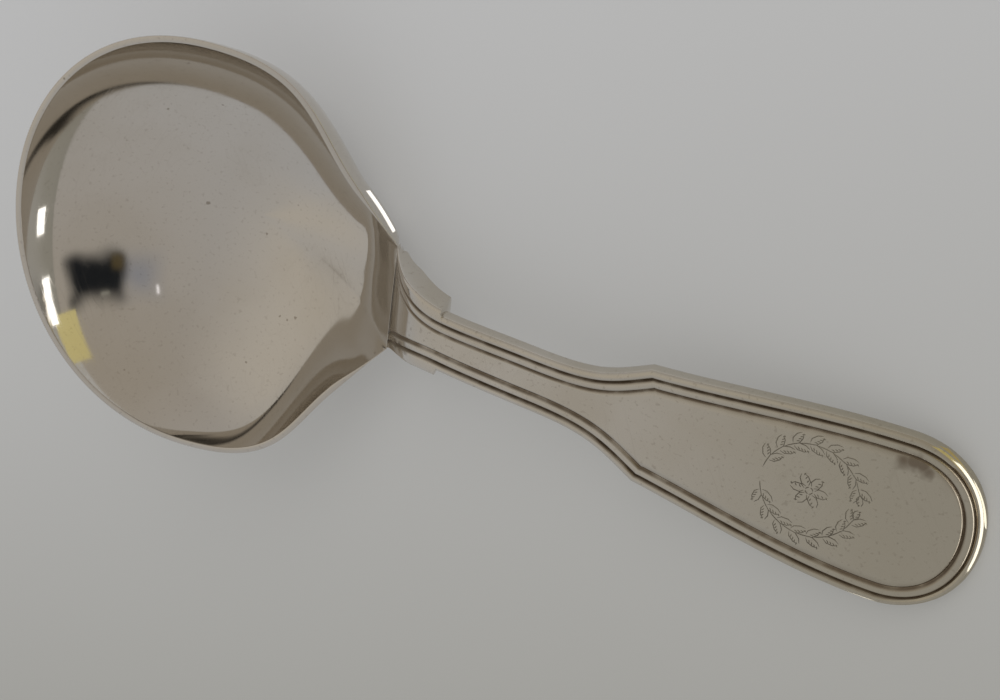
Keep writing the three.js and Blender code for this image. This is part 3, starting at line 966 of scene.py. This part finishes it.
# Larger pits of the bowl: place in the frame, radius and share of it that is whole
bowlPits = (
    ((-12.14, 0.05, 4.18), 0.3, 0.5),
    ((-2.79, -10.22, 2.49), 0.14, 0.5),
    ((-1.85, -10.32, 2.43), 0.16, 0.5),
    ((-0.98, -9.78, 2.22), 0.2, 0.5),
    ((-14.58, 11.08, 8.19), 0.16, 0.5),
    ((-9.59, 12.58, 5.63), 0.13, 0.5),
    ((-6.06, -2.05, 1.62), 0.16, 0.5),
    ((-4.6, -15.55, 5.35), 0.16, 0.5),
)

# Dark spots in the panel's corner and by the root
handleDarkSpots = (
    ((66.7, 6.3, 3.1), 1.3, 0.0),
    ((67.6, 6.4, 2.9), 1.2, 0.2),
    ((68.4, 6.3, 2.6), 1.2, 0.2),
    ((68.9, 5.9, 2.4), 0.9, 0.0),
    ((15.9, -3.3, 7.25), 0.8, 0.1),
    ((16.8, -2.9, 7.7), 0.8, 0.1),
    ((17.7, -2.6, 8.0), 0.7, 0.1),
)

handleLook = {
    **silver,
    "towardsEnd": 0.75,
    "marked": 0.95,
    "bloom": 0.9,
    "roughness": 0.09,
    "cloudRough": 0.08,
    "darkSpots": handleDarkSpots,
}

cutLook = {
    **silver,
    "colour": (0.26, 0.235, 0.185),
    "bloomColour": (0.16, 0.14, 0.11),
    "bloom": 1,
    "roughness": 0.4,
    "Cloud Scale": 400,
}

bowlSilver = silverMaterial("polished_bowl", {**silver, "darkSpots": bowlPits})
handleSilver = silverMaterial("polished_handle", handleLook)
solderSilver = silverMaterial("hard_solder", {**silver, "roughness": 0.22, "Scratch Scale": 1500})
cutSilver = silverMaterial("engraved_lines", cutLook)
finishes = (
    (silverBowl, bowlSilver),
    (silverHandle, handleSilver),
    (solderFillet, solderSilver),
    (engravedWreath, cutSilver),
)
for piece, material in finishes:
    piece.data.materials.clear()
    piece.data.materials.append(material)
print("silver finished")

# Floor, light and camera; the floor's colour holds painted shade on its near side
stage = {
    "floorSize": 3,
    "floorDrop": 0.00002,  # so that it doesn't touch the worn flats
    "floorColour": (0.39, 0.39, 0.392),
    # painted shade: the floor's colour on its near side, darker and yellower than the rest
    "nearFloorShade": (0.25, 0.245, 0.222),
    "palerTowards": (-0.61, 1, 0),
    "palerFrom": (-0.13, 0.07),
    "floorGlow": 0.58,
    "floorRough": 0.6,
    "sky": (0.56, 0.56, 0.56),
    "coolSky": (0.46, 0.47, 0.49),
    "warmSky": (0.4, 0.37, 0.33),
    "warmTowards": (0.707, 0.707, 0),
    "lampPower": 1.4,
    "lampPlace": (0.1, 0.6, 0.5),
    "lampSize": 0.5,
    "uneven": 0.24,  # share by which the edges of what is mirrored wander
    "unevenMost": 0.15,  # half size past which they wander no further
    "unevenScale": 5.0,
    "unevenFrom": (0.25, 0.75),
    "facing": 0.1,  # cosine from which a mirrored patch counts as ahead
}

bpy.ops.object.select_all(action="DESELECT")
bpy.ops.mesh.primitive_plane_add(size=stage["floorSize"], location=(0, 0, -stage["floorDrop"]))
floor = bpy.context.object
floor.name = "floor"
bpy.ops.object.transform_apply(location=True)
floorMaterial, floorTree, floorShader = newMaterial("pale_floor")
floorPlace = node(floorTree, "TexCoord").outputs["Object"]
# painted shade: the floor turns darker and yellower towards its near side, standing in for light that falls
# off there
outOfShade = ranged(floorTree, lengthAlong(floorTree, floorPlace, stage["palerTowards"]), *stage["palerFrom"])
floorToneAndShade = blended(floorTree, outOfShade, (*stage["nearFloorShade"], 1), (*stage["floorColour"], 1))
floorTree.links.new(floorToneAndShade, floorShader.inputs["Base Color"])
floorTree.links.new(floorToneAndShade, floorShader.inputs["Emission Color"])
floorShader.inputs["Emission Strength"].default_value = stage["floorGlow"]
floorShader.inputs["Roughness"].default_value = stage["floorRough"]
floorShader.inputs["Specular IOR Level"].default_value = 0
floor.data.materials.append(floorMaterial)

# What the silver mirrors besides the plain room: after how many bounces, azimuth and elevation in degrees,
# half width and half height, soft edge, colour
mirrored = {
    "light_wall": (1, (165, 58), (0.85, 0.7), 0.62, (0.528, 0.5, 0.455)),
    "cool_halo": (1, (2, 43), (0.13, 0.14), 0.12, (0.3, 0.31, 0.35)),
    "dark_corner": (1, (2.5, 23), (0.16, 0.27), 0.07, (0.012, 0.014, 0.017)),
    "brown_edge": (1, (-4, 34), (0.05, 0.05), 0.03, (0.09, 0.07, 0.035)),
    "pale_dash": (1, (9.5, 27), (0.012, 0.045), 0.01, (0.4, 0.4, 0.36)),
    "lamp_streak": (1, (10.2, 51.5), (0.03, 0.008), 0.008, (1.4, 1.4, 1.5)),
    "dark_front": (2, (40, 45), (0.3, 0.1), 0.06, (0.015, 0.014, 0.013)),
}


def studio():
    world = bpy.data.worlds.new("studio")
    bpy.context.scene.world = world
    world.use_nodes = True
    tree = world.node_tree
    direction = node(tree, "TexCoord").outputs["Generated"]
    path = node(tree, "LightPath")
    times = path.outputs["Glossy Depth"]

    # The room is cool on one side and warm on the other
    warm = ranged(tree, lengthAlong(tree, direction, stage["warmTowards"]), -1.0, 1.0, smoothly=False)
    room = blended(tree, warm, (*stage["coolSky"], 1), (*stage["warmSky"], 1))
    noise = {"Vector": direction, "Scale": stage["unevenScale"], "Detail": 0.5}
    uneven = node(tree, "TexNoise", noise).outputs[0]
    uneven = ranged(tree, uneven, *stage["unevenFrom"], -stage["uneven"], stage["uneven"], False)
    for bounce, (azimuth, elevation), (width, height), edge, colour in mirrored.values():
        turn, lift = math.radians(azimuth), math.radians(elevation)
        ahead = (math.cos(lift) * math.cos(turn), math.cos(lift) * math.sin(turn), math.sin(lift))
        side = (-math.sin(turn), math.cos(turn), 0)
        up = (-math.sin(lift) * math.cos(turn), -math.sin(lift) * math.sin(turn), math.cos(lift))
        facing = lengthAlong(tree, direction, ahead)
        seen = calculate(tree, "COMPARE", times, float(bounce))
        seen.node.inputs[2].default_value = 0.5  # counts of bounces are whole
        mask = calculate(tree, "MULTIPLY", seen, calculate(tree, "GREATER_THAN", facing, stage["facing"]))
        for axis, half in ((side, width), (up, height)):
            apart = calculate(tree, "DIVIDE", lengthAlong(tree, direction, axis), facing)
            wander = calculate(tree, "MULTIPLY", uneven, min(half, stage["unevenMost"]))
            apart = calculate(tree, "ADD", calculate(tree, "ABSOLUTE", apart), wander)
            mask = calculate(tree, "MULTIPLY", mask, ranged(tree, apart, half - edge, half + edge, 1.0, 0.0))
        room = blended(tree, mask, room, (*colour, 1))
    mirror = path.outputs["Is Glossy Ray"]
    room = blended(tree, mirror, (*stage["sky"], 1), room)
    tree.links.new(room, tree.nodes["Background"].inputs["Color"])


studio()

# Cards out of sight that are only mirrored: place, width and height in metres, turn in degrees of those that
# lie flat, colour
cards = {
    "white_card": ((0.083, 0.003, 0.0045), 0.03, 0.009, None, (2.4, 2.4, 2.4)),
    "side_card": ((0.064, -0.037, 0.0035), 0.012, 0.007, None, (2.4, 2.4, 2.4)),
    "warm_card": ((0.102, 0.042, 0.018), 0.05, 0.036, None, (0.64, 0.57, 0.27)),
    "end_card": ((0.0768, 0.0045, 0.0001), 0.0036, 0.006, 0, (2.0, 2.0, 1.9)),
    "warm_end_card": ((0.0735, 0.0108, 0.0001), 0.007, 0.003, 0, (0.5, 0.42, 0.2)),
    "root_card": ((0.0097, 0.00785, 0.0001), 0.0049, 0.0016, -45, (1.6, 1.6, 1.6)),
}
for name, (place, width, height, turn, colour) in cards.items():
    bpy.ops.object.select_all(action="DESELECT")
    facing = math.atan2(place[1], place[0] - bowlLow.x) - math.pi / 2
    standing = (math.pi / 2, 0, facing) if turn is None else (0, 0, math.radians(turn))
    bpy.ops.mesh.primitive_plane_add(size=1, location=place, rotation=standing)
    card = bpy.context.object
    card.name = name
    card.scale = (width, height, 1)
    bpy.ops.object.transform_apply(location=True, rotation=True, scale=True)
    glow, _, glowShader = newMaterial(name)
    glowShader.inputs["Base Color"].default_value = (0, 0, 0, 1)
    glowShader.inputs["Emission Color"].default_value = (*colour, 1)
    glowShader.inputs["Emission Strength"].default_value = 1
    card.data.materials.append(glow)
    card.visible_camera = card.visible_diffuse = card.visible_shadow = False

bpy.ops.object.light_add(type="AREA", location=stage["lampPlace"])
lamp = bpy.context.object
lamp.name = "soft_lamp"
lamp.data.energy = stage["lampPower"]
lamp.data.size = stage["lampSize"]
lamp.rotation_euler = (-Vector(stage["lampPlace"])).to_track_quat("-Z", "Y").to_euler()
lamp.visible_glossy = False
print("stage set")

view = {
    "place": (0.11218, 0.09708, 0.14491),
    "turn": (-25.869, 35.433, 8.654),  # degrees
    "lens": 72,
    "sensorWidth": 36,
    "clipStart": 0.01,
}
bpy.ops.object.camera_add(location=view["place"], rotation=[math.radians(a) for a in view["turn"]])
camera = bpy.context.object
camera.name = "photo_view"
camera.data.lens = view["lens"]
camera.data.sensor_width = view["sensorWidth"]
camera.data.clip_start = view["clipStart"]
bpy.context.scene.camera = camera
bpy.context.scene.view_settings.view_transform = "Standard"
bpy.context.scene.cycles.glossy_bounces = 10  # the bowl mirrors itself many times over
